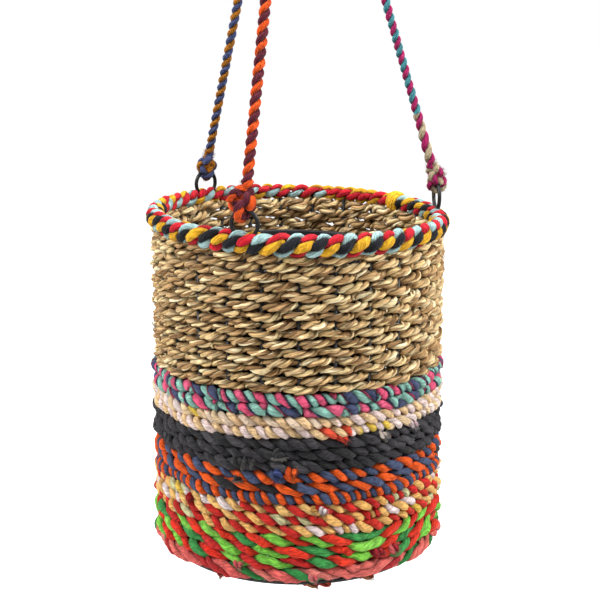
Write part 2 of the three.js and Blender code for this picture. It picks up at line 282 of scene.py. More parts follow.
def wire(path, radius, towards, sides, closed=False):
    # a circle carried square to the path
    out, up = frameAlong(path, towards)
    if closed:  # the gradient at the seam looks both ways
        ahead = unit(np.roll(path, -1, -2) - np.roll(path, 1, -2))
        out = unit(towards - ahead * (towards * ahead).sum(-1, keepdims=True))
        up = np.cross(ahead, out)
    angle = np.arange(sides) * fullTurn / sides
    ring = np.cos(angle)[:, None] * out[..., None, :] + np.sin(angle)[:, None] * up[..., None, :]
    return tube(path[..., None, :] + radius * ring, closed=closed)


def dyedAlong(length, plan, start=0.0):
    # plan: strips of (length, colour code) sewn end to end, over and over
    ends = np.cumsum([span for span, _ in plan])
    colours = np.array([dye(code) for _, code in plan])
    return colours[np.searchsorted(ends, (length + start) % ends[-1], side="right")]


def dyedByTurn(centre, plan):
    # a strip that changes colour behind the rope: one colour for each time that it comes round
    number = np.floor((centre - math.pi) / fullTurn).astype(int)
    return np.array([dye(code) for code in plan])[number % len(plan)]


def hairs(bases, outwards, colours, look, seed):
    # Loose fibres: each leaves the skin, leans at random and curls as its share squared. The
    # shortest may be 0.35 of the longest, and each tapers to 0.4 of its thickness.
    draw = np.random.default_rng(seed)
    count = len(bases)
    lean = unit(outwards + draw.normal(0, look["hairLean"], (count, 3)))
    curl = np.cross(lean, unit(draw.normal(0, 1, (count, 3))))
    reach = draw.uniform(0.35, 1.0, count) * look["hairLength"]
    share = np.linspace(0, 1, 4)[:, None]
    bend = look["hairCurl"] * draw.uniform(-1, 1, count)
    curled = (bend[:, None] * share[:, 0] ** 2)[..., None] * curl[:, None]
    path = bases[:, None] + reach[:, None, None] * (share * lean[:, None] + curled)
    side = unit(np.cross(lean, curl))
    angle = np.arange(3) * fullTurn / 3
    ring = np.cos(angle)[:, None] * curl[:, None, None] + np.sin(angle)[:, None] * side[:, None, None]
    thin = look["hairRadius"] * (1 - 0.6 * share)
    return tube(path[:, :, None] + thin[:, None] * ring, colours[:, None, None])


leafSpan = 500.0  # leaves are numbered, and each ply has this many numbers of its own


def leafEnds(skin, path, colours, look, seed):
    # Dry leaves that lie along a ply: half width = a random width * sqrt(1 - s squared) for s
    # from -1 to 1, and the far end lifts off the skin as (s + 1) squared. They lie on the middle
    # half of the ply and slant a little across it.
    draw = np.random.default_rng(seed)
    count, half = look["flakes"], 5
    share = np.linspace(-1, 1, 2 * half + 1)
    ring = draw.integers(half, len(path) - half, count)[:, None] + np.arange(-half, half + 1)
    column = draw.uniform(0.25, 0.75, count)[:, None] - 0.12 * share
    column = column * (skin.shape[1] - 1)
    low = np.floor(column).astype(int)
    part = (column - low)[..., None]
    place = skin[ring, low] * (1 - part) + skin[ring, low + 1] * part
    away = unit(place - path[ring])
    side = unit(np.cross(np.gradient(place, axis=1), away))
    lift = 0.18 + draw.uniform(0, 0.28, count)[:, None] * (share + 1) ** 2
    wide = (draw.uniform(0.6, 1.25, count)[:, None] * np.sqrt(1 - share ** 2).clip(0.05))[..., None]
    middle = place + lift[..., None] * away
    section = np.stack([middle - 0.3 * away, middle - wide * side,
                        middle + 0.14 * away, middle + wide * side], 2)
    tint = colours[ring[:, half]] * draw.uniform(0.75, 1.12, count)[:, None]
    number = leafSpan * seed + np.arange(count) + 0.5
    return tube(section, tint[:, None, None], along=share, leaf=number[:, None, None])


# what a strip's look has where nothing else is said; lengths are in millimetres along the rope, and the shade
# amounts give the painted shade in the valleys between strips, where rows meet and in folds
plainLook = {"wanderLength": 19, "swellLength": 23, "tone": 0.1, "toneLength": 9, "slip": 0.45, "valleyShade": 0.5,
             "shadeWidth": 0.5, "rowShade": 0, "folds": 0, "foldDepth": 0, "foldShade": 0.3, "flakes": 0,
             "hairs": 0, "hairTone": 1.15, "hairLean": 0.55, "hairCurl": 0.5, "hairRadius": 0.075}


def twistedStrips(path, out, up, wide, tall, twist, dyes, look):
    # Strips laid round each other. Over its share t of the section, a strip's skin stands
    # valley + (1 - valley) * sin(pi t) ^ roundness off the rope's middle, times its swell,
    # less its folds. The middle of the rope closes each strip. The strip's own threads lie
    # back against the rope's twist, so they slip across it by a part of each turn.
    look = {**plainLook, **look}
    length = lengthAlong(path)
    count, seed = len(dyes), look["seed"]
    level = lambda value: np.broadcast_to(value, length.shape)
    waves = lambda period, number: ripple(length, period, seed + number)
    wides, talls = level(wide), level(tall)
    shares = np.array([level(share) for share in look.get("shares", [1 / count] * count)])
    bounds = np.concatenate([0 * shares[:1], np.cumsum(shares, 0)]) * fullTurn
    edges = [twist + bounds[k] + look["wander"] * waves(look["wanderLength"], k % count)
             for k in range(count + 1)]
    across = look["across"]
    even = np.linspace(0, 1, across)
    share = 0.5 * (0.5 - 0.5 * np.cos(math.pi * even)) + 0.5 * even  # closer together at the valleys
    arch = np.sin(math.pi * share).clip(0)
    valley = level(look["valley"])[:, None]
    bulge = valley + (1 - valley) * arch ** look["roundness"]
    # how much painted shade darkens the valleys between strips
    shadeDepth = look["valleyShade"]
    shadow = look.get("shadow", 0 * length)[:, None]
    parts = []
    for k, colours in enumerate(dyes):
        swell = 1 + look["swell"] * waves(look["swellLength"], 20 + k)
        tone = 1 + look["tone"] * waves(look["toneLength"], 30 + k)
        colours = np.broadcast_to(colours, (len(length), 3)) * tone[:, None]
        angle = edges[k][:, None] + (edges[k + 1] - edges[k])[:, None] * share
        slip = look["slip"] * twist / fullTurn * count
        thread = share + (slip + 0.25 * waves(33, 45 + k))[:, None]
        reach = bulge * swell[:, None]
        leaf, crease = 0 * thread, 0 * thread
        if "leaves" in look:  # leaves overlap: each rises towards one edge and drops to the next
            leaf = look["leaves"] * thread
            place = leaf % 1
            tip = look["leafTip"] * (place - 0.5) - look["leafCrease"] * np.abs(2 * place - 1) ** 6
            reach = reach + arch ** 0.5 * tip
            leaf = leaf + leafSpan * (k + 1)
        for fold in range(1, 1 + look["folds"]):
            # a fold is a narrow valley that wanders across the threads, and comes and goes
            drift = 0.5 * waves(21, 40 + 7 * k + fold)[:, None]
            valleys = 1 - np.abs(np.sin(math.pi * ((1.2 + 1.1 * fold) * thread + drift))) ** 0.4
            comes = (0.6 + 0.4 * waves(13, 60 + 3 * k + fold)[:, None]).clip(0)
            crease = np.maximum(crease, valleys * comes)
        reach = reach - look["foldDepth"] * crease * arch ** 0.5
        outwards, upwards = wides[:, None] * reach * np.cos(angle), talls[:, None] * reach * np.sin(angle)
        skin = path[:, None] + outwards[..., None] * out[:, None] + upwards[..., None] * up[:, None]
        points = np.concatenate([skin, path[:, None]], 1)
        # painted shade: the valleys between strips are darker, where no light reaches, and so are
        # the places where the rows shade each other
        shade = 1 - shadeDepth + shadeDepth * arch ** look["shadeWidth"]
        # painted shadow on the outward faces of passes that lie behind the stakes
        shade = shade * (1 - shadow * np.clip(2 * np.cos(angle) + 0.6, 0, 1))
        # painted shade along a row's top and bottom, where the rows next to it meet it
        shade = shade * (1 - look["rowShade"] * np.sin(angle) ** 6)
        # painted shade in the folds
        shade = shade * (1 - look["foldShade"] * crease)
        # the rope's middle, which closes each strip, is painted in shade at 0.4 of the colour
        shade = np.concatenate([shade, 0 * shade[:, :1] + 0.4], 1)
        lay = np.concatenate([thread, thread[:, -1:], thread[:, -1:]], 1)
        leaf = np.concatenate([leaf, leaf[:, -1:]], 1)
        tinted = colours[:, None] * shade[..., None]
        parts.append(tube(points, tinted, along=length / 10, around=lay, leaf=leaf))
        if look["hairs"]:
            draw = np.random.default_rng(seed + 55 + 5 * k)
            ring = draw.integers(0, len(length), look["hairs"])
            side = draw.integers(2, across - 2, look["hairs"])
            bases = skin[ring, side]
            tint = colours[ring] * look["hairTone"]
            parts.append(hairs(bases, unit(bases - path[ring]), tint, look, seed + k))
        if look["flakes"]:
            parts.append(leafEnds(skin, path, colours, look, seed + 75 + k))
    return parts


# Finishes
def clothFinish(name):
    # cotton jersey cut in strips: gathers that run along the strip and slant across it, and a little nap
    finish = Finish(name, Roughness=0.95, Sheen_Weight=0.08, Sheen_Roughness=0.5, Specular_IOR_Level=0.12)
    strip = finish.add("ShaderNodeAttribute", {"attribute_name": "dye"}, output="Color")
    cloudy = finish.noise((260, 260, 260), 3)
    gathers = finish.noise((1.1, 5.0, 1.0), 2, "lay", 0.3)
    threads = finish.noise((3.0, 34.0, 1.0), 2, "lay", 0.15)
    crease = 1 - ((gathers * 2 - 1).size() * 6).clamped()  # thin lines where the gathers change sides
    contrast = 0.34
    # the crease lines are also painted darker in the colour, as shade in the creases
    amount = 1 - contrast + contrast * (cloudy * 0.7 + gathers * 1.1 + threads * 0.7 - crease)
    finish.surface("Base Color", finish.shaded(strip, amount))
    relief = gathers + 0.35 * threads + 0.2 * cloudy - 0.35 * crease
    finish.surface("Normal", finish.bump(relief, 0.9, 0.0022))
    return finish


def seagrassFinish():
    # dry leaves laid along each ply: each has its own tone and fine veins, and painted shade darkens its
    # edges, where one leaf laps the next
    finish = Finish("driedSeagrass", Specular_IOR_Level=0.3)
    strip = finish.add("ShaderNodeAttribute", {"attribute_name": "dye"}, output="Color")
    leaf = finish.add("ShaderNodeAttribute", {"attribute_name": "leaf"}, output="Fac")
    each = finish.add("ShaderNodeTexWhiteNoise", {"noise_dimensions": "1D"}, {"W": leaf.whole()})
    stops = [(0.0, dye("7A5C3A")), (0.2, dye("B08E64")), (0.5, dye("CDAF82")), (0.8, dye("E2CC9A")),
             (0.97, dye("F6E8C0"))]
    straw = finish.add("ShaderNodeValToRGB", {"stops": stops}, {"Fac": each})
    edge = ((leaf.fraction() * 2 - 1).size()) ** 6
    veins = finish.noise((1.4, 13.0, 1.0), 4, "lay")
    patches = finish.noise((190, 190, 190), 3)
    # painted shade: the colour is darker at each leaf's edge, in the crease where it laps the next
    amount = 0.5 + 1.0 * veins + 0.55 * patches - 0.45 * edge
    tinted = finish.add("ShaderNodeMix", {"data_type": "RGBA", "blend_type": "MULTIPLY"},
                        {0: 1.0, 6: straw, 7: strip}, output=2)
    finish.surface("Base Color", finish.shaded(tinted, amount))
    finish.surface("Roughness", 0.8 - 0.3 * veins)
    finish.surface("Normal", finish.bump(veins + 0.3 * patches - 0.4 * edge, 0.8, 0.0010))
    return finish


def blackWireFinish():
    # powder-coated wire, with a slight orange peel and dust
    finish = Finish("blackWire", Specular_IOR_Level=0.22, Coat_Weight=0.06, Coat_Roughness=0.2)
    peel = finish.noise((900, 900, 900), 2)
    dust = finish.noise((70, 70, 70), 4)
    finish.surface("Base Color", finish.add("ShaderNodeValToRGB", {"stops": [
        (0.35, (0.010, 0.010, 0.011)), (0.75, (0.028, 0.027, 0.026))]}, {"Fac": dust}))
    finish.surface("Roughness", 0.26 + 0.24 * dust)
    finish.surface("Normal", finish.bump(peel, 0.25, 0.0003))
    return finish


def potFinish():
    # thin moulded plastic: fine grain, scuffs and faint rings from the mould
    finish = Finish("blackPotPlastic", Specular_IOR_Level=0.22)
    grain = finish.noise((1400, 1400, 1400), 2)
    scuffs = finish.noise((45, 45, 260), 5)
    finish.surface("Base Color", finish.add("ShaderNodeValToRGB", {"stops": [
        (0.4, (0.011, 0.011, 0.013)), (0.8, (0.032, 0.032, 0.034))]}, {"Fac": scuffs}))
    finish.surface("Roughness", 0.36 + 0.2 * scuffs)
    finish.surface("Normal", finish.bump(grain + 0.4 * scuffs, 0.3, 0.0003))
    return finish


blackWire = blackWireFinish()
driedSeagrass = seagrassFinish()
hangingCotton = clothFinish("hangingCotton")
knotCotton = clothFinish("knotCotton")
rimCotton = clothFinish("rimCotton")
print("finishes ready")

# Wire frame: sizes that the ropes follow
frameSizes = {"stakes": 25, "circle": 90.0, "wire": 1.5, "hoopWire": 2.0, "rimOffset": 2.9, "baseInset": 6.0,
              "firstStake": math.radians(158.8), "rimHeight": 219.57, "spokePairs": 4}
stakeCircle, stakeWire, hoopWire = frameSizes["circle"], frameSizes["wire"], frameSizes["hoopWire"]
rimHeight = frameSizes["rimHeight"]
rimCircle = stakeCircle + frameSizes["rimOffset"]
baseCircle = stakeCircle - frameSizes["baseInset"]
eyeSizes = {"radius": 8.5, "wire": 1.3, "height": rimHeight + 12.1}
eyeTop = eyeSizes["height"] + eyeSizes["radius"]

# Hanging ropes: taut cords from the knots on the eyes to the knot under the ring. foot is how far
# along itself a cord starts above its eye, and loose the stretch over which it has come untwisted.
ropeSets = {
    "front": {"azimuth": -20.0, "radius": 3.7, "foot": 16.42, "lay": 12.2, "knot": (19, 19), "aside": -1.6,
              "slot": "front_rope_cloth", "seed": 3, "plans": [[(400, "FF601E")], [(400, "70293A")]]},
    "right": {"azimuth": 98.0, "radius": 3.0, "foot": 15.33, "lay": 10.2, "knot": (13, 18), "loose": 34,
              "slot": "right_rope_cloth", "seed": 11,
              "plans": [[(33, "DCC9A4"), (367, "58A9B4")], [(400, "CC2F76")]]},
    "left": {"azimuth": 223.5, "radius": 3.2, "foot": 14.61, "lay": 10.9, "knot": (15, 17),
             "slot": "left_rope_cloth", "seed": 17, "plans": [[(400, "C47C22")], [(400, "56608F")]]},
}
gather = {"radius": 11.5, "height": 507.764, "meeting": rimHeight + 326}
lean = math.atan2(rimCircle, gather["meeting"] - eyeTop)
ropeLook = {"valley": 0.5, "roundness": 0.7, "wander": 0.12, "swell": 0.04, "folds": 2, "foldDepth": 0.07,
            "across": 12}
hairLook = {"hairs": 90, "hairLength": 2.2}

for side, rope in ropeSets.items():
    azimuth = math.radians(rope["azimuth"])
    reach = rope["foot"]
    foot = onCircle(rimCircle - reach * math.sin(lean), azimuth, eyeTop + reach * math.cos(lean))
    head = onCircle(gather["radius"], azimuth, gather["height"])
    span = float(np.linalg.norm(head - foot))
    place = np.linspace(0, 1, 330)
    path = foot + (head - foot) * place[:, None]
    out, up = frameAlong(path, outwardsAt(azimuth))
    length = place * span
    loosened = np.exp(-(length / rope["loose"]) ** 4) if "loose" in rope else 0 * length
    lay = rope["lay"] * (1 + 0.45 * loosened + 0.05 * ripple(length, 60, rope["seed"]))
    twist = np.cumsum(np.gradient(length) * fullTurn / lay)
    thick = rope["radius"] * (1 + 0.16 * loosened)
    dyes = [dyedAlong(length, plan) for plan in rope["plans"]]
    look = {**ropeLook, **hairLook, "seed": rope["seed"]}
    parts = twistedStrips(path, out, up, thick, thick, twist, dyes, look)
    cord = makePiece(f"hanging_{side}", parts, hangingCotton, stands=[f"hanging_rope_{side}"])
print("hanging ropes laid")


# Knots on the eyes: a trefoil of the rope's own strips, with a bight through the eye
def knotPath(width, height, radius):
    # trefoil: (sin t + 2 sin 2t, 2 cos 2t - cos t, sin 3t), as wide and tall as the knot, facing
    # outwards; it is itself about 2.75 and 2.9 from its middle to its sides
    t = np.linspace(0, fullTurn, 151)[:-1]
    across, rise = (width / 2 - radius) / 2.75, (height / 2 - radius) / 2.9
    return np.stack([radius * 0.62 * np.sin(3 * t), across * (np.sin(t) + 2 * np.sin(2 * t)),
                     rise * (2 * np.cos(2 * t) - np.cos(t)) - 0.12 * height], -1)


def closedStrips(path, radius, twists, dyes, look):
    # the same strips round a closed path: its ends are laid over each other for a few rings
    overlap = 4
    wrapped = np.concatenate([path, path[:overlap]])
    out, up = frameAlong(wrapped, wrapped - wrapped.mean(0) + (3.0, 0, 0))
    length = lengthAlong(wrapped)
    twist = fullTurn * twists * length / length[-overlap]
    return twistedStrips(wrapped, out, up, radius, radius, twist, dyes, look)


def stationTurned(points, azimuth):
    # x outwards, y along the rim and z up become the basket's own directions
    across = onCircle(1.0, azimuth, 0.0)
    side = np.array([math.cos(azimuth), math.sin(azimuth), 0])
    return points[..., :1] * across + points[..., 1:2] * side + points[..., 2:] * np.array([0, 0, 1.0])


# the knot's short end: points outwards, along the rim and upwards, on a knot 17 mm wide
knotTail = {"points": [(2.0, -1.5, 3.0), (4.6, -3.6, 1.2), (5.6, -5.0, -1.6), (5.8, -5.4, -4.2)], "width": 17}
knotLook = {**ropeLook, "valley": 0.62, "hairs": 130, "hairLength": 3.0}
for side, rope in ropeSets.items():
    azimuth = math.radians(rope["azimuth"])
    width, height = rope["knot"]
    radius = rope["radius"] * 1.04
    strips = [dye(plan[0][1]) for plan in rope["plans"]]
    look = {**knotLook, "seed": rope["seed"] + 100}
    raised = np.array([0, 0, height / 2 - eyeSizes["wire"]])
    ball = knotPath(width, height, radius) + raised
    # the bight passes under the eye's wire
    sweep = np.linspace(math.radians(40), math.radians(320), 60)
    reach = eyeSizes["wire"] + 0.4 + radius * 0.9
    bight = np.stack([reach * np.sin(sweep), 0.6 * np.sin(2 * sweep),
                      reach * np.cos(sweep) + 0.4 * (np.cos(sweep) < 0)], -1)
    tail = np.array(knotTail["points"]) * width / knotTail["width"] + raised
    tail = np.stack([np.interp(np.linspace(0, 3, 24), np.arange(4), tail[:, axis]) for axis in range(3)], -1)
    # the hanging rope comes down into the knot's middle
    neck = np.linspace((0, 0, height * 0.3), (0, 0, rope["foot"] + 1.5), 14)
    tilt = np.array([[math.cos(lean), 0, -math.sin(lean)], [0, 1, 0], [math.sin(lean), 0, math.cos(lean)]])
    strands = ((ball, 6, 1.0), (bight, 2.2, 0.86), (tail, 0.8, 0.66), (neck, 1.1, 1.0))
    parts = []
    for strand, twists, share in strands:
        aside = 0 if strand is neck else rope.get("aside", 0)
        placed = stationTurned(strand @ tilt.T + (rimCircle, aside, eyeTop), azimuth)
        thick = radius * share
        if strand is ball:
            parts += closedStrips(placed, thick, twists, strips, look)
        else:
            out, up = frameAlong(placed, outwardsAt(azimuth) + (0, 0, 0.3))
            length = lengthAlong(placed)
            twist = fullTurn * twists * length / length[-1]
            parts += twistedStrips(placed, out, up, thick, thick, twist, strips, look)
    makePiece(f"knot_{side}", parts, knotCotton, stands=[f"rope_knot_{side}"])
print("knots tied")

# Rim rope: two cords wound round the top hoop, each of two strips twisted the other way. From the
# wrap round by the back, each strip changes its colour at two azimuths.
rimRope = {"radius": 7.4, "middle": 3.75, "lay": 17.3, "subTurns": 2, "cordThick": 3.8, "cordWide": 4.3,
           "from": 132.5, "phases": (1.57, -1.1), "changes": (168.0, 262.0)}
rimColours = {"lightBlue": "B6DCDC", "black": "1F2026", "yellow": "FFBE2E", "red": "DE2434"}
rimStrips = [(("yellow", "red", "lightBlue"), ("red", "lightBlue", "black")),
             (("red", "red", "yellow"), ("yellow", "yellow", "red"))]
rimLook = {"valley": 0.6, "roundness": 0.6, "wander": 0.2, "wanderLength": 14, "swell": 0.08,
           "swellLength": 12, "folds": 2, "foldDepth": 0.08, "across": 10, "hairs": 150, "hairLength": 2.0}


def rimLift(azimuth):
    # the rope lies higher at the left, as -sin, and at the back, as 1 - cos
    return -2.4 * np.sin(azimuth) + 0.95 * (1 - np.cos(azimuth))


def rimSlim(azimuth):
    # the rope's thickness against that at the front
    return 0.87 + 0.13 * np.cos(azimuth)


def rimDyes(azimuth, names):
    # names: the strip's colour in each part of the rim
    colours = np.array([dye(rimColours[name]) for name in names])
    return colours[np.searchsorted(rimRope["changes"], np.degrees(azimuth))]


azimuth = np.linspace(math.radians(rimRope["from"]), math.radians(rimRope["from"] + 360), 1300)
middle = onCircle(rimCircle, azimuth, rimHeight + rimLift(azimuth))
slim = rimSlim(azimuth)
out, up = frameAlong(middle, outwardsAt(azimuth))
length = lengthAlong(middle)
turning = -fullTurn * length / rimRope["lay"] + 0.35 * ripple(length, 70, 5)
parts = []
for k, cordStrips in enumerate(rimStrips):
    angle = turning + math.pi * k + 0.15 * ripple(length, 25, 8 + k)
    spoke = np.cos(angle)[:, None] * out + np.sin(angle)[:, None] * up
    path = middle + (rimRope["middle"] * slim)[:, None] * spoke
    cordOut, cordUp = frameAlong(path, spoke)
    # each cord's strips turn back twice for every turn that it makes round the hoop
    twist = -rimRope["subTurns"] * angle + 1.5 * ripple(length, 75, 30 + k) + rimRope["phases"][k]
    dyes = [rimDyes(azimuth, names) for names in cordStrips]
    parts += twistedStrips(path, cordOut, cordUp, rimRope["cordThick"] * slim, rimRope["cordWide"] * slim,
                           twist, dyes, {**rimLook, "seed": 70 + 5 * k})
makePiece("rim_cords", parts, rimCotton, stands=["rim_rope"])

# Rim wrap: one yellow strip wound over the place where the rim rope's ends meet
rimWrap = {"azimuth": 132.5, "length": 9.0, "radius": 7.3, "turns": 3.0, "drawnIn": 0.2, "groove": 0.05,
           "pleats": 9, "pleatDepth": 0.22, "colour": "FCC030"}
share = np.linspace(0, 1, 60)
azimuth = math.radians(rimWrap["azimuth"]) + (share - 0.5) * rimWrap["length"] / rimCircle
middle = onCircle(rimCircle, azimuth, rimHeight + rimLift(azimuth))
out, up = frameAlong(middle, outwardsAt(azimuth))
around = np.arange(48) * fullTurn / 48
# radius = the wrap's own, drawn in at both ends, with a shallow groove where one turn of the
# strip laps the next, and with pleats along it
full = np.sin(math.pi * share)[:, None]
lap = (share[:, None] * rimWrap["turns"] + around / fullTurn) % 1
reach = 1 - rimWrap["drawnIn"] + rimWrap["drawnIn"] * full ** 0.45
reach = rimWrap["radius"] * reach * (1 - rimWrap["groove"] * np.abs(2 * lap - 1) ** 6)
pleats = np.sin(rimWrap["pleats"] * around + 4 * ripple(share * 15, 12, 4)[:, None])
reach = reach + rimWrap["pleatDepth"] * pleats * full
skin = (middle[:, None] + (reach * np.cos(around))[..., None] * out[:, None]
        + (reach * np.sin(around))[..., None] * up[:, None])
wrapSkin = tube(skin, dye(rimWrap["colour"]), along=share * 1.5)
makePiece("rim_binding", [wrapSkin], clothFinish("wrapCotton"), stands=["rim_wrap"])
print("rim bound")

# Frame wires
stakes = frameSizes["stakes"]
footRadius, footBend = 2 * frameSizes["baseInset"], math.radians(45)
footReach = (frameSizes["baseInset"] - footRadius * (1 - math.cos(footBend))) / math.sin(footBend)
footHeight = footReach * math.cos(footBend) + footRadius * math.sin(footBend)
stakeAzimuths = frameSizes["firstStake"] + fullTurn * np.arange(stakes) / stakes


def stakeRadiusAt(height):
    # the upright's circle, drawn in by the bend at its foot
    drop = np.clip(footHeight - height, 0, footRadius * math.sin(footBend))
    return stakeCircle - footRadius + np.sqrt(footRadius ** 2 - drop ** 2)


bend = np.linspace(footBend, 0, 9)
seat = hoopWire + 0.3  # a stake's foot rests on the base hoop
stakeRadii = np.concatenate([[baseCircle + seat * math.sin(footBend)],
                             stakeCircle - footRadius * (1 - np.cos(bend)), [stakeCircle]])
stakeHeights = np.concatenate([[seat * math.cos(footBend)],
                               footHeight - footRadius * np.sin(bend), [rimHeight - hoopWire]])
routes = onCircle(stakeRadii, stakeAzimuths[:, None], stakeHeights)
uprights = wire(routes, stakeWire, outwardsAt(stakeAzimuths)[:, None], 12)
makePiece("frame_stakes", [uprights], blackWire,
          stands=[f"stake_{k + 1:02d}" for k in range(stakes)])

ringAzimuths = np.arange(180) * fullTurn / 180
baseHoop = wire(onCircle(baseCircle, ringAzimuths, 0.0), hoopWire, outwardsAt(ringAzimuths), 16, closed=True)
makePiece("frame_base_hoop", [baseHoop], blackWire, stands=["base_hoop"])


def standingRing(radius, wireRadius, azimuth, place):
    # a ring in the plane of up and along the rim
    angle = np.arange(72) * fullTurn / 72
    inPlane = np.stack([0 * angle, np.cos(angle), np.sin(angle)], -1)
    path = stationTurned(inPlane * radius, azimuth) + place
    return wire(path, wireRadius, outwardsAt(azimuth), 16, closed=True)


for side, rope in ropeSets.items():
    azimuth = math.radians(rope["azimuth"])
    place = onCircle(rimCircle, azimuth, eyeSizes["height"])
    eye = standingRing(eyeSizes["radius"], eyeSizes["wire"], azimuth, place)
    makePiece(f"eye_{side}", [eye], blackWire, stands=[f"eye_ring_{side}"])
hookRing = {"radius": 16.0, "wire": 2.0, "height": 570.278}
hook = standingRing(hookRing["radius"], hookRing["wire"], 0.0, np.array([0, 0, hookRing["height"]]))
makePiece("hook_ring", [hook], blackWire, body="hanger", stands=["hanging_ring"])
for name in ("top_hoop", "base_spokes"):
    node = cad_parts[name]
    node.data.materials.clear()
    node.data.materials.append(blackWire.material)
print("wires bent")

# Wall ropes, woven round the stakes from the base up. Each row has its lay, the length of one
# whole twist, and each strip its colours and their lengths. A strip whose plan is colours alone
# takes the next one each time that it comes round behind the rope. spread, topRows and fullRows
# say at what height a change in the rows begins and over how many more millimetres it comes in.
weave = {"firstRow": 9.6, "firstEnd": 0.3, "fabricPitch": 7.08, "seagrassPitch": 5.76, "climb": 3,
         "spread": (126, 84), "topRows": (180, 30), "raised": 1.0, "fullRows": (165, 30), "fuller": 0.07,
         "tightLay": 13.5, "tightValley": 0.72}
clothRope = {"aside": 1.2, "inwards": 1.2, "outwards": 2.3, "thick": 4.2, "cover": 1.21, "coverVaries": 0.05,
             "slimmer": 0.0, "lift": 0.06, "bob": 0.0, "sway": 0.8, "hand": 1, "layVaries": 0.22,
             "step": 1.35,
             "look": {"valley": 0.38, "roundness": 0.62, "wander": 0.3, "wanderLength": 20, "swell": 0.13,
                      "swellLength": 11, "slip": 0.65, "folds": 2, "foldDepth": 0.15, "foldShade": 0.27,
                      "tone": 0.08, "valleyShade": 0.58, "rowShade": 0.25, "across": 18, "hairs": 90,
                      "hairLength": 2.4}}
grassRope = {"aside": 1.7, "inwards": 3.0, "outwards": 0.6, "thick": 4.3, "cover": 1.05, "coverVaries": 0.07,
             "slimmer": 0.13, "lift": 0.0, "bob": 0.5, "sway": 0.9, "hand": -1, "layVaries": 0.1,
             "step": 1.05,
             "look": {"valley": 0.47, "roundness": 0.62, "wander": 0.16, "wanderLength": 9, "swell": 0.1,
                      "swellLength": 14, "slip": 0.62, "shadeWidth": 0.32, "flakes": 110, "leaves": 3.1,
                      "leafTip": 0.17, "leafCrease": 0.16, "tone": 0.18, "toneLength": 7, "valleyShade": 0.78,
                      "rowShade": 0.68, "across": 12, "hairs": 80, "hairLength": 3.2, "hairRadius": 0.11,
                      "hairLean": 0.8, "hairCurl": 0.2}}
wallRopes = [
    {"name": "coral", "lays": [36], "shares": [0.42, 0.3, 0.28], "turnedBack": (25, 70), "pressed": 1.3,
     "taller": 1.2,
     "look": {"folds": 3, "foldDepth": 0.15, "foldShade": 0.36, "hairs": 240, "hairTone": 1.3, "valley": 0.56},
     "strips": [
         [(160, "FA7A70"), (60, "FF9C90"), (120, "F66E68")],
         [(46, "CE3030"), (70, "FC8C80"), (34, "CC3438"), (90, "FA786E")],
         [(70, "3A9A4C"), (50, "FA7A70"), (90, "37964A"), (60, "CC3030")]]},
    {"name": "green_red", "lays": [27, 30, 25], "turnedBack": (28, 74), "layVaries": 0.3, "fuller": 0.12,
     "look": {"folds": 3, "foldDepth": 0.12, "foldShade": 0.36, "swell": 0.14},
     "strips": [
         ["88DC50", "46A052", "92E058", "88DC50", "4AA856", "8CDE52", "92E058", "46A052", "88DC50"],
         [(330, "F03422"), (50, "DA302C"), (160, "F43E26")]]},
    {"name": "peach_red", "lays": [17, 17.5, 16], "tight": [(0, 15, 24, 7.5), (1, 26, 37, 8), (2, 40, 47, 8)],
     "look": {"valleyShade": 0.36, "rowShade": 0.18, "foldShade": 0.18},
     "strips": [
         [(150, "FFC674"), (14, "F8CE58"), (120, "FFCC7C"), (20, "FFC26C"), (26, "DCD8A4")],
         [(84, "DC2E28"), (34, "FCE6E4"), (70, "DE3A2C"), (26, "DCD8A4"), (44, "FAEAE8"), (60, "D83028")]]},
    {"name": "orange_navy", "lays": [9.5, 25, 17],
     "strips": [
         [(900, "FF6420")],
         [(700, "505C7C"), (90, "323234"), (160, "54607F"), (60, "323234"), (110, "505C7C"),
          (70, "353537")]]},
    {"name": "black", "lays": [21, 22, 21], "look": {"hairTone": 3.4, "hairs": 170},
     "strips": [[(170, "3C3A3E"), (60, "545256")], [(200, "464448"), (70, "343436")]]},
    {"name": "cream", "lays": [13, 14], "look": {"valleyShade": 0.26, "rowShade": 0.14, "foldShade": 0.14},
     "strips": [
         [(160, "FFD9A4"), (22, "FAD45A"), (120, "FFE0B2"), (60, "FFD6A2")],
         [(130, "FFE6E0"), (22, "F25A3E"), (110, "FFEAE4"), (12, "FAD45A"), (90, "FFE4C8")]]},
    {"name": "pink_teal", "lays": [18, 13], "pinkAndNavy": 0.56, "look": {"valley": 0.58},
     "strips": [[(90, "FA6C92"), (400, "F86088")], [(900, "9CD4C4")], [(900, "50587A")]]},
    {"name": "seagrass", "lays": [22, 20.5, 23.5, 21, 24, 20.5, 23, 21, 20.5, 24, 22, 23.5, 20.5, 23, 24.5],
     "strips": [[(9000, "FFFFFF")], [(9000, "F7EFE0")], [(9000, "FFF6EA")]]},
]
rowHeights, rowPitches, rowsBelow = [], [], []
for rope in wallRopes:
    rowsBelow.append(len(rowHeights))
    pitch = weave["seagrassPitch"] if rope["name"] == "seagrass" else weave["fabricPitch"]
    for _ in rope["lays"]:
        rowHeights.append(rowHeights[-1] + (rowPitches[-1] + pitch) / 2 if rowHeights else weave["firstRow"])
        rowPitches.append(pitch)
rowHeights, rowPitches = np.array(rowHeights), np.array(rowPitches)


def wallSway(azimuth, height, seed):
    # slow waves round the wall, nearly the same for a row and its neighbours: sines of 2 to 12
    # waves a turn, each slanted upwards
    draw = np.random.default_rng(seed)
    sway = 0 * height
    for waves in range(2, 13):
        strength, slant, phase = draw.uniform(0.5, 1), draw.uniform(9, 26), draw.uniform(0, fullTurn)
        sway = sway + strength * np.sin(waves * azimuth + height / slant + phase)
    return sway / 3.2


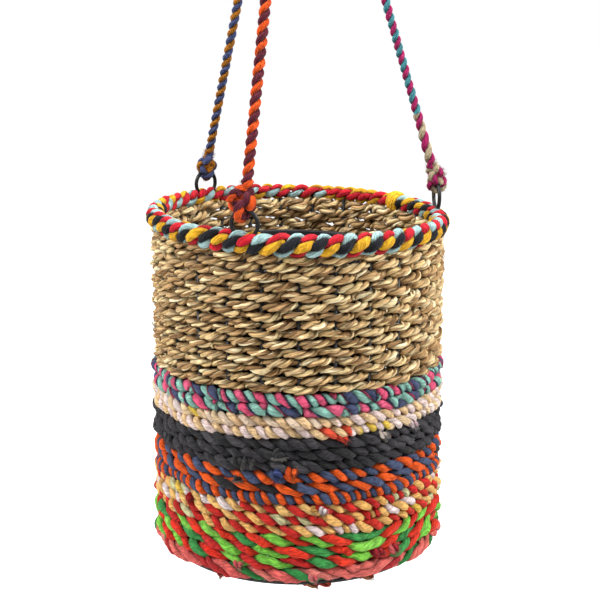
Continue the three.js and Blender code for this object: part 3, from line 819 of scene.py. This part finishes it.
def passValue(count, seed):
    # one random value from -1 to 1 for each pass over or under a stake
    draws = np.random.default_rng(seed).uniform(-1, 1, (len(rowHeights) + 1) * stakes)
    return draws[np.round(count).astype(int)]


def smoothed(values, reach):
    # mean over reach values on either side
    return np.convolve(np.pad(values, reach, mode="edge"), np.ones(2 * reach + 1) / (2 * reach + 1), "valid")


def risen(height, begins, over):
    # 0 up to where it begins, then evenly up to 1
    return np.clip((height - begins) / over, 0, 1)


def weaveRope(index, rope, kind):
    # Cotton passes the stakes outside and inside by turns, as cos(pi * count). Seagrass passes
    # all of them outside in one row and inside in the next, as turn * cos(2 pi * count), and dips
    # on the way as sin(2 pi * count) - 0.4 * turn * sin(4 pi * count), so that its rows lie like
    # arrowheads. The rope climbs to each row over that row's first stakes. count is in stakes.
    rows, below = len(rope["lays"]), rowsBelow[index]
    first = below * stakes - 0.5 if below else weave["firstEnd"]
    last = (below + rows) * stakes - 0.5
    if below + rows == len(rowHeights):
        last += weave["climb"]  # the last end is tucked in over the row's own climb
    count = np.linspace(first, last, int((last - first) * fullTurn * stakeCircle / stakes / kind["step"]))
    row = np.clip((count // stakes).astype(int), 0, len(rowHeights) - 1)
    climbed = np.clip((count - row * stakes) / weave["climb"], 0, 1)
    start = np.where(row == 0, rowHeights[0] - 0.6 * weave["fabricPitch"], rowHeights[row - 1])
    height = start + (rowHeights[row] - start) * climbed * climbed * (3 - 2 * climbed)
    azimuth = frameSizes["firstStake"] + fullTurn * count / stakes
    place = (azimuth - azimuth[0]) * stakeCircle
    pitch = smoothed(rowPitches[row], 30)
    if kind["bob"]:
        turn = smoothed(np.where(row % 2 == 1, 1.0, -1.0), 9)
        inOut = turn * np.cos(fullTurn * count)
        bob = -np.sin(fullTurn * count) + 0.4 * turn * np.sin(2 * fullTurn * count)
    else:
        inOut, bob = np.cos(math.pi * count), 0.0
    height = (height + kind["bob"] * bob * (1 + 0.3 * passValue(count, 11))
              + kind["sway"] * wallSway(azimuth, height, 4)
              + 0.3 * smoothed(passValue(count, 15), 8) + 0.15 * ripple(place, 40, 90 + index))
    # the upper rows are spread out to reach the rim rope, wherever it lies higher or is thinner
    reached = rimLift(azimuth) + rimRope["radius"] * (1 - rimSlim(azimuth))
    height = (height + reached * risen(height, *weave["spread"])
              + weave["raised"] * risen(height, *weave["topRows"]))
    aside = inOut * np.where(inOut > 0, kind["aside"], kind["inwards"]) * (1 + 0.12 * passValue(count, 21))
    radius = stakeRadiusAt(height) + kind["outwards"] + aside + 0.4 * wallSway(azimuth, height, 9)
    path = onCircle(radius, azimuth, height)
    out, up = frameAlong(path, outwardsAt(azimuth))
    length = lengthAlong(path)
    lay = np.array(rope["lays"], float)[row - below]
    degrees = (np.degrees(azimuth) + 90) % 360 - 90
    for tightRow, begins, ends, tightLay in rope.get("tight", []):
        lay = np.where((row - below == tightRow) & (degrees > begins) & (degrees < ends), tightLay, lay)
    lay = smoothed(lay, 4) * (1 + rope.get("layVaries", kind["layVaries"]) * ripple(length, 90, 40 + index))
    rate = np.gradient(length) * fullTurn / lay
    if "turnedBack" in rope:  # the weaver twisted this stretch the other way
        begins, ends = rope["turnedBack"]
        inside = (degrees > begins) & (degrees < ends)
        rate = rate * (1 - 2 * smoothed(inside.astype(float), 6))
    twist = kind["hand"] * np.cumsum(rate)
    thick = kind["thick"] * (1 + 0.06 * ripple(length, 30, 60 + index))
    # cover is a row's height against its pitch: seagrass is slimmer in front than at the back,
    # but not its top rows
    cover = kind["cover"] + rope.get("fuller", 0) - kind["slimmer"] * np.cos(azimuth)
    cover = cover + weave["fuller"] * (1 + np.cos(azimuth)) * risen(height, *weave["fullRows"])
    lifted = (kind["lift"] + 0.08 * passValue(count, 31)) * np.clip(inOut, 0, 1)
    tall = pitch / 2 * (cover + lifted + kind["coverVaries"] * ripple(length, 34, 61 + index))
    hidden = 0 * length
    if kind["bob"]:
        # where a row of seagrass passes behind the stakes it is pinched, and since no light from
        # outside reaches it, its outward face gets a painted shadow
        hidden = np.clip(-1.6 * inOut - 0.5, 0, 1) * np.clip(2 * np.cos(fullTurn * count), 0, 1)
    tall, thick = tall * (1 - 0.04 * hidden), thick * (1 - 0.06 * hidden)
    strips = [dyedByTurn(twist + fullTurn / 4, plan) if isinstance(plan[0], str)
              else dyedAlong(length, plan, 29.0 * index) for plan in rope["strips"]]
    # tightly twisted strips lie flat side by side, loosely twisted ones are round with deep valleys
    valley = kind["look"]["valley"]
    valley = valley + (weave["tightValley"] - valley) * np.clip((weave["tightLay"] - lay) / 4, 0, 1)
    return path, out, up, thick, tall, twist, strips, length, 0.74 * hidden, valley


for index, rope in enumerate(wallRopes):
    name, cloth = rope["name"], rope["name"] != "seagrass"
    kind = clothRope if cloth else grassRope
    path, out, up, thick, tall, twist, strips, length, shadow, valley = weaveRope(index, rope, kind)
    look = {**kind["look"], **rope.get("look", {}), "seed": 210 + 20 * index}
    if cloth and len(strips) == 2:
        look["valley"] = valley
    if "pressed" in rope:  # down on to the base hoop
        path = path - (0, 0, rope["pressed"])
        tall = tall * rope["taller"]
    if "shares" in rope:
        look["shares"] = rope["shares"]
    if "pinkAndNavy" in rope:  # these two strips lie side by side and hide each other by turns
        both = rope["pinkAndNavy"]
        pink = both * (1.0 + 7 * ripple(length, 60, 31)).clip(0.02, 0.98)
        look["shares"] = [pink, 1 - both, both - pink]
    if cloth:
        finish = clothFinish(name.title().replace("_", "") + "Cotton")
        woven = twistedStrips(path, out, up, thick, tall, twist, strips, look)
        makePiece(f"wall_{name}", woven, finish, stands=[f"{name}_rope"])
        continue
    # seagrass is made in three bands, since one piece would have too many triangles
    cuts = np.linspace(0, len(path), 4).astype(int)
    for number, band in enumerate(("low", "middle", "high")):
        part = slice(cuts[number], cuts[number + 1] + 1)
        bandLook = {**look, "seed": look["seed"] + 100 * number, "shadow": shadow[part]}
        woven = twistedStrips(path[part], out[part], up[part], thick[part], tall[part], twist[part],
                              [strip[part] for strip in strips], bandLook)
        for place, mesh in enumerate(woven):
            label = ("ply", "splinters", "leaves")[place % 3]
            makePiece(f"seagrass_{band}_{label}_{place // 3 + 1}", [mesh], driedSeagrass,
                      stands=["seagrass_rope"])
print("wall woven")

# Loose ends: stubs of strip that the weaver left standing out between two rows, with frayed tips.
# from is the radius at which a stub starts, and aside is how far to the side its end lies.
wallFace = stakeCircle + 2
endColumns = ("azimuth", "height", "from", "radius", "length", "aside", "strips", "fray", "fibres")
looseEnds = {
    "black": [
        (-6.8, 88.8, wallFace, 4.0, 5.8, 0, ("2E2E30", "3C3C3E"), "B4B0A8", 300),
        (-24.7, 82.7, wallFace, 3.2, 4.8, 7, ("303032", "39393B"), "A8A6A0", 280),
        (-20.0, 84.0, wallFace, 2.8, 4.6, 5, ("303032", "39393B"), "9A9894", 220),
        (-22.7, 71.4, wallFace, 3.0, 4.6, 0, ("2A2A2C", "47474A"), "9A9894", 120)],
    "orange_navy": [
        (-2.9, 78.2, wallFace, 3.7, 6.0, 3, ("FF6420", "F85A1A"), "FF7A3A", 150),
        (-6.6, 76.8, wallFace, 3.4, 5.6, -3, ("46568E", "3C4B80"), "6A7CB8", 200)],
    "peach_red": [
        (6.0, 53.2, wallFace, 2.3, 4.8, -1, ("E8A850", "EBB05C"), "F3D9A0", 70),
        (9.2, 52.6, wallFace, 2.4, 4.8, 1, ("F4E6E2", "F0DCDC"), "FBF3EE", 70),
        (-46.9, 50.4, wallFace, 2.7, 5.4, 3, ("CC2222", "D2262A"), "D8383A", 60)],
    "cream": [
        (32.8, 97.2, wallFace, 2.2, 4.2, 3, ("F6E2D8", "FCEBDD"), "FDF4EA", 150),
        (15.8, 98.6, wallFace, 2.5, 4.4, 4, ("E8402E", "E84A32"), "F0705A", 60),
        (49.1, 98.4, wallFace, 2.6, 4.8, 2, ("F2C8D0", "F6E0E0"), "FBEFEF", 80)],
    "coral": [
        (31.0, 19.6, wallFace, 3.6, 4.6, 4, ("C2303A", "B82834"), "D8505A", 160),
        (38.0, 19.2, wallFace, 3.4, 4.6, 4, ("C83440", "EE6A6C"), "F08A8C", 160),
        (4.6, 8.4, wallFace, 3.0, 4.0, 4, ("F0686C", "F58A88"), "FBB0A8", 120),
        (-24.3, 14.2, wallFace, 2.8, 4.0, 4, ("F0686C", "EE6066"), "FBC0A8", 120)],
    "base": [
        (-37.5, -0.6, 80.5, 2.2, 4.6, 4, ("E8503A", "D8402C"), "F0A080", 60),
        (3.0, -1.0, 81.5, 2.5, 3.0, 9, ("D8402C", "D89468"), "F0A080", 40),
        (8.5, -1.0, 81.5, 2.3, 3.0, 9, ("E2583A", "D8402C"), "F0A080", 40),
        (29.0, -0.6, 81.0, 2.5, 4.6, 8, ("E8603C", "D8906A"), "F0B090", 60)],
}
endFray = {"hairLength": 3.0, "hairRadius": 0.12, "hairLean": 0.5, "hairCurl": 0.5}
endFinish = clothFinish("looseEndCotton")


def looseEnd(end, seed):
    # the stub stands out of the wall as sin(pi s / 2) and bends aside and down as s squared
    share = np.linspace(0, 1, 18)
    azimuth = math.radians(end["azimuth"]) + end["aside"] * share ** 2 / stakeCircle
    radius = end["from"] + end["length"] * np.sin(math.pi / 2 * share)
    path = onCircle(radius, azimuth, end["height"] - 1.6 * share ** 2)
    side, lift = frameAlong(path, np.array([0, 0, 1.0]))
    look = {**clothRope["look"], "across": 10, "seed": seed, "hairs": 0}
    size = end["radius"] * (0.9 + 0.14 * np.sin(math.pi * share))
    strips = [dye(code) for code in end["strips"]]
    parts = twistedStrips(path, side, lift, size, size, 0.9 * fullTurn * share, strips, look)
    # the fibres grow from all over the cut end, most of them near its edge
    draw, fibres = np.random.default_rng(seed), end["fibres"]
    spin = draw.uniform(0, fullTurn, fibres)
    reach = end["radius"] * draw.uniform(0, 1, fibres) ** 0.4
    spoke = np.cos(spin)[:, None] * side[-1] + np.sin(spin)[:, None] * lift[-1]
    ahead = unit(path[-1] - path[-2])
    tint = dye(end["fray"]) * draw.uniform(0.55, 1.1, fibres)[:, None]
    roots = path[-1] - 0.5 * ahead + reach[:, None] * spoke
    return parts + [hairs(roots, unit(ahead + 0.9 * spoke), tint, endFray, seed + 9)]


for number, (group, ends) in enumerate(looseEnds.items()):
    stubs = []
    for place, end in enumerate(ends):
        stubs += looseEnd(dict(zip(endColumns, end)), 500 + 40 * number + 7 * place)
    makePiece(f"ends_{group}", stubs, endFinish)
print("loose ends left")

# Base mat: a flat spiral of rope, over and under the spokes
mat = {"rows": 9, "radius": 81.7, "firstTurn": 0.6, "past": 0.8, "steps": 1900, "wide": 0.63, "tall": 2.75,
       "rise": 1.7, "lay": 24,
       "plans": [[(110, "D8402C"), (60, "F0782E"), (40, "C9A070")], [(90, "C4262B"), (70, "E85A2A")]]}
angle = np.linspace(mat["firstTurn"] * fullTurn, (mat["rows"] + mat["past"]) * fullTurn, mat["steps"])
turns = angle / fullTurn
over = (turns - mat["rows"]).clip(0)  # past its last whole turn the rope narrows on to the turn before
crossed = np.floor(turns) + np.clip((turns % 1 - 0.875) / 0.125, 0, 1)
rise = mat["rise"] * np.cos(frameSizes["spokePairs"] * angle + math.pi * crossed)
pitch = mat["radius"] / mat["rows"]
path = onCircle(pitch * (turns - 0.5 - 0.5 * over).clip(0.12), angle, rise)
out, up = frameAlong(path, outwardsAt(angle))
length = lengthAlong(path)
twist = np.cumsum(np.gradient(length) * fullTurn / (mat["lay"] * (1 + 0.2 * ripple(length, 90, 77))))
dyes = [dyedAlong(length, plan) for plan in mat["plans"]]
look = {**clothRope["look"], "seed": 330, "across": 9, "valley": 0.64}
wide = mat["wide"] * pitch * (1 - over) + 0.5
parts = twistedStrips(path, out, up, wide, mat["tall"], twist, dyes, look)
makePiece("base_weave", parts, clothFinish("baseCotton"), stands=["base_mat"])
print("base woven")

# Pot: one outline turned round its own axis, with a rolled lip and drain holes
pot = {"rim": 70.0, "foot": 52.0, "wall": 1.6, "lip": 3.0, "lipDepth": 8.0, "drop": 21.0, "shift": 7.0,
       "floor": 4.8, "holes": 6, "hole": 5.0, "holeCircle": 34.0, "holeMargin": 8.0}
potTop = rimHeight - pot["drop"]
wallTop = pot["rim"] - pot["lip"]
innerEdge = pot["holeCircle"] + pot["holeMargin"]
floorTop = pot["floor"] + pot["wall"]
shift = np.array([-pot["shift"], 0, 0])


def corner(r, z, size, start, stop):
    # a rounded corner of the outline, from one direction to another in degrees
    return [(r + size * math.cos(a), z + size * math.sin(a)) for a in np.radians(np.linspace(start, stop, 6))]


outline = np.array([
    (innerEdge, pot["floor"]),
    (pot["foot"] - 2, pot["floor"]),
    *corner(pot["foot"] - 1.5, pot["floor"] + 2, 2.0, -80, -5),
    (wallTop, potTop - pot["lipDepth"] - 0.6),
    *corner(pot["rim"] - 0.7, potTop - pot["lipDepth"] + 0.8, 0.7, -90, 0),
    *corner(pot["rim"] - 1.0, potTop - 1.0, 1.0, 0, 90),
    *corner(wallTop - pot["wall"] + 0.8, potTop - 0.8, 0.8, 90, 180),
    (wallTop - pot["wall"], potTop - 6),
    *corner(pot["foot"] - 2.6, floorTop + 1.6, 1.6, 0, -90),
    (innerEdge, floorTop),
])
sweep = np.arange(160) * fullTurn / 160
# section by sweep: each point of the closed outline goes round the pot's axis
potSkin = onCircle(outline[:, 0], sweep[:, None], outline[:, 1]) + shift
blackPotPlastic = potFinish()
makePiece("pot_shell", [tube(potSkin[:, ::-1], closed=True)], blackPotPlastic, body="pot",
          stands=["plant_pot"])


# Pot floor: a disc with round holes, as a flat plate cut by six drums
def plate(radius, bottom, top, place, sides):
    edge = np.arange(sides) * fullTurn / sides
    ring = np.stack([radius * np.cos(edge), radius * np.sin(edge), 0 * edge], -1) + place
    return tube(np.stack([ring + (0, 0, bottom), ring + (0, 0, top)]))


potFloor = makePiece("pot_floor_plate", [plate(innerEdge + 0.4, pot["floor"], floorTop, shift, 96)],
                     blackPotPlastic, body="pot")
drums = []
for k in range(pot["holes"]):
    azimuth = fullTurn * k / pot["holes"]
    centre = shift + pot["holeCircle"] * np.array([math.cos(azimuth), math.sin(azimuth), 0])
    drums.append(plate(pot["hole"], pot["floor"] - 3, pot["floor"] + 5, centre, 32))
drill = makePiece("drain_drill", drums, blackPotPlastic, body="pot")
cut = potFloor.modifiers.new("drain holes", "BOOLEAN")
cut.operation, cut.object, cut.solver = "DIFFERENCE", drill, "EXACT"
evaluated = potFloor.evaluated_get(bpy.context.evaluated_depsgraph_get())
drilled = bpy.data.meshes.new_from_object(evaluated)
potFloor.modifiers.clear()
potFloor.data = drilled
bpy.data.objects.remove(drill)
drilled.polygons.foreach_set("use_smooth", np.zeros(len(drilled.polygons), bool))
print("pot moulded")

# Top knot: the three ropes gathered and bound with a few turns of rope, round a domed core
topKnot = {"radius": 16.5, "foot": 508.1, "top": 535.0, "ropeRadius": 3.4, "turns": 4, "drawnIn": 3.2,
           "lay": 14, "core": 13.4, "colours": ("E95A20", "6A2731"),
           "stripes": [(25, "C47C22"), (25, "58A9B4"), (25, "CC2F76")]}
topLook = {**ropeLook, "valley": 0.66}
thick = topKnot["ropeRadius"]
share = np.linspace(0, 1, 700)
spin = fullTurn * topKnot["turns"] * share
rise = topKnot["foot"] + thick + share * (topKnot["top"] - topKnot["foot"] - 2 * thick - 2)
waist = topKnot["radius"] - thick - topKnot["drawnIn"] * np.abs(2 * share - 1) ** 2
path = onCircle(waist, spin, rise)
out, up = frameAlong(path, outwardsAt(spin))
twist = fullTurn * lengthAlong(path) / topKnot["lay"]
dyes = [dye(code) for code in topKnot["colours"]]
parts = twistedStrips(path, out, up, thick, thick * 1.05, twist, dyes, {**topLook, "seed": 400})
# the core is drawn into lobes by the ropes that pass through it
share = np.linspace(0, 1, 26)
coreRadius = topKnot["core"] * np.sqrt(np.clip(1 - (2 * share - 1) ** 4, 0, 1)).clip(0.02)
coreHeight = topKnot["foot"] + 0.5 + share * (topKnot["top"] - topKnot["foot"] - 1)
sweep = np.arange(60) * fullTurn / 60
lobes = (1 + 0.07 * np.cos(3 * sweep + 9 * share[:, None])
         + 0.03 * np.cos(11 * sweep - 14 * share[:, None]))
core = onCircle(coreRadius[:, None] * lobes, sweep, coreHeight[:, None])
stripes = dyedAlong(sweep * 12 + 60 * share[:, None], topKnot["stripes"])
parts.append(tube(core, stripes, along=share * 3))
makePiece("gathering_knot", parts, clothFinish("topKnotCotton"), stands=["top_knot"])

# Hanging loop: a bight of rope through the ring, and a thin strip bound round its neck
loop = {"radius": 9.2, "rope": 3.104, "height": 550.578, "lay": 11, "from": -78, "to": 258,
        "neck": 535.378, "neckRope": 2.6, "bandRope": 1.1, "bandTurns": 3.4, "bandLay": 6,
        "colours": ("C47C22", "56608F")}
loopDyes = [dye(code) for code in loop["colours"]]
sweep = np.linspace(math.radians(loop["from"]), math.radians(loop["to"]), 300)
bight = np.stack([0.5 * np.sin(sweep / 2), loop["radius"] * np.cos(sweep),
                  loop["height"] + loop["radius"] * np.sin(sweep)], -1)
share = np.linspace(0, 1, 220)
spin = fullTurn * loop["bandTurns"] * share
band = np.stack([loop["neckRope"] * np.cos(spin), loop["neckRope"] * np.sin(spin),
                 loop["neck"] + 1.2 + share * 5.6], -1)
pillar = np.stack([0 * share, 0 * share, loop["neck"] + 0.1 + share * 8], -1)
towards = bight - (0, 0, loop["height"]) + (0.01, 0, 0)
strands = (
    (bight, towards, loop["rope"], lengthAlong(bight) / loop["lay"], 420),
    (band, band * (1, 1, 0), loop["bandRope"], lengthAlong(band) / loop["bandLay"], 430),
    (pillar, (1.0, 0, 0), loop["neckRope"], share, 440))
parts = []
for path, towards, thick, turns, seed in strands:
    out, up = frameAlong(path, np.asarray(towards))
    parts += twistedStrips(path, out, up, thick, thick, fullTurn * turns, loopDyes, {**topLook, "seed": seed})
makePiece("hook_bight", parts, clothFinish("loopCotton"), body="loop",
          stands=["hanging_loop"])
print("top tied")


# Studio: pale floor, white surround, and soft lights at the left, at the right, above and in front
studio = {"floor": -0.93, "reach": 9.0, "surround": 0.25, "aim": (0, 0, -0.45), "lights": {
    "leftLight": ((-1.35, -0.4, 0.7), 0.7, 30.0), "rightLight": ((1.35, -0.4, 0.7), 0.7, 32.0),
    "topLight": ((0.1, 0.1, 1.4), 0.9, 21.0), "frontLight": ((-0.3, -1.5, 0.9), 0.6, 5.0)}}


def softbox(name, place, size, power):
    lamp = bpy.data.lights.new(name, "AREA")
    lamp.shape, lamp.size, lamp.energy = "DISK", size, power
    holder = bpy.data.objects.new(name, lamp)
    holder.location = place
    aim = np.array(studio["aim"]) - np.array(place)
    tilt = math.atan2(math.hypot(aim[0], aim[1]), -aim[2])
    holder.rotation_euler = (tilt, 0, math.atan2(aim[1], aim[0]) - math.pi / 2)
    bpy.context.scene.collection.objects.link(holder)


for name, light in studio["lights"].items():
    softbox(name, *light)

# The surround is white for the camera, for gloss and for glass, and a dim warm white as light
world = bpy.data.worlds.new("paleSurround")
bpy.context.scene.world = world
world.use_nodes = True
tree = world.node_tree
tree.nodes.clear()
rays = tree.nodes.new("ShaderNodeLightPath")


def eitherRay(first, second):
    node = tree.nodes.new("ShaderNodeMath")
    node.operation, node.use_clamp = "ADD", True
    tree.links.new(first, node.inputs[0])
    tree.links.new(second, node.inputs[1])
    return node.outputs[0]


def glow(colour, strength):
    node = tree.nodes.new("ShaderNodeBackground")
    node.inputs["Color"].default_value = (*colour, 1)
    node.inputs["Strength"].default_value = strength
    return node.outputs[0]


shiny = eitherRay(rays.outputs["Is Glossy Ray"], rays.outputs["Is Transmission Ray"])
mixed = tree.nodes.new("ShaderNodeMixShader")
tree.links.new(eitherRay(rays.outputs["Is Camera Ray"], shiny), mixed.inputs["Fac"])
tree.links.new(glow((1, 0.99, 0.98), studio["surround"]), mixed.inputs[1])
tree.links.new(glow((1, 1, 1), 1.0), mixed.inputs[2])
tree.links.new(mixed.outputs[0], tree.nodes.new("ShaderNodeOutputWorld").inputs["Surface"])

floorPaint = Finish("paleFloor", Roughness=0.9, Specular_IOR_Level=0.1, Base_Color=(0.88, 0.88, 0.87, 1),
                    Emission_Color=(1, 1, 1, 1))
floorRays = floorPaint.nodes.new("ShaderNodeLightPath")
floorPaint.surface("Emission Strength", Signal(floorPaint, floorRays.outputs["Is Camera Ray"]) * 0.8)
floorMesh = bpy.data.meshes.new("floor")
reach, level = studio["reach"], studio["floor"]
floorCorners = [(x * reach, y * reach, level) for x, y in ((-1, -1), (1, -1), (1, 1), (-1, 1))]
floorMesh.from_pydata(floorCorners, [], [(0, 1, 2, 3)])
floorMesh.materials.append(floorPaint.material)
floor = bpy.data.objects.new("floor", floorMesh)
bpy.context.scene.collection.objects.link(floor)
print("studio lit")
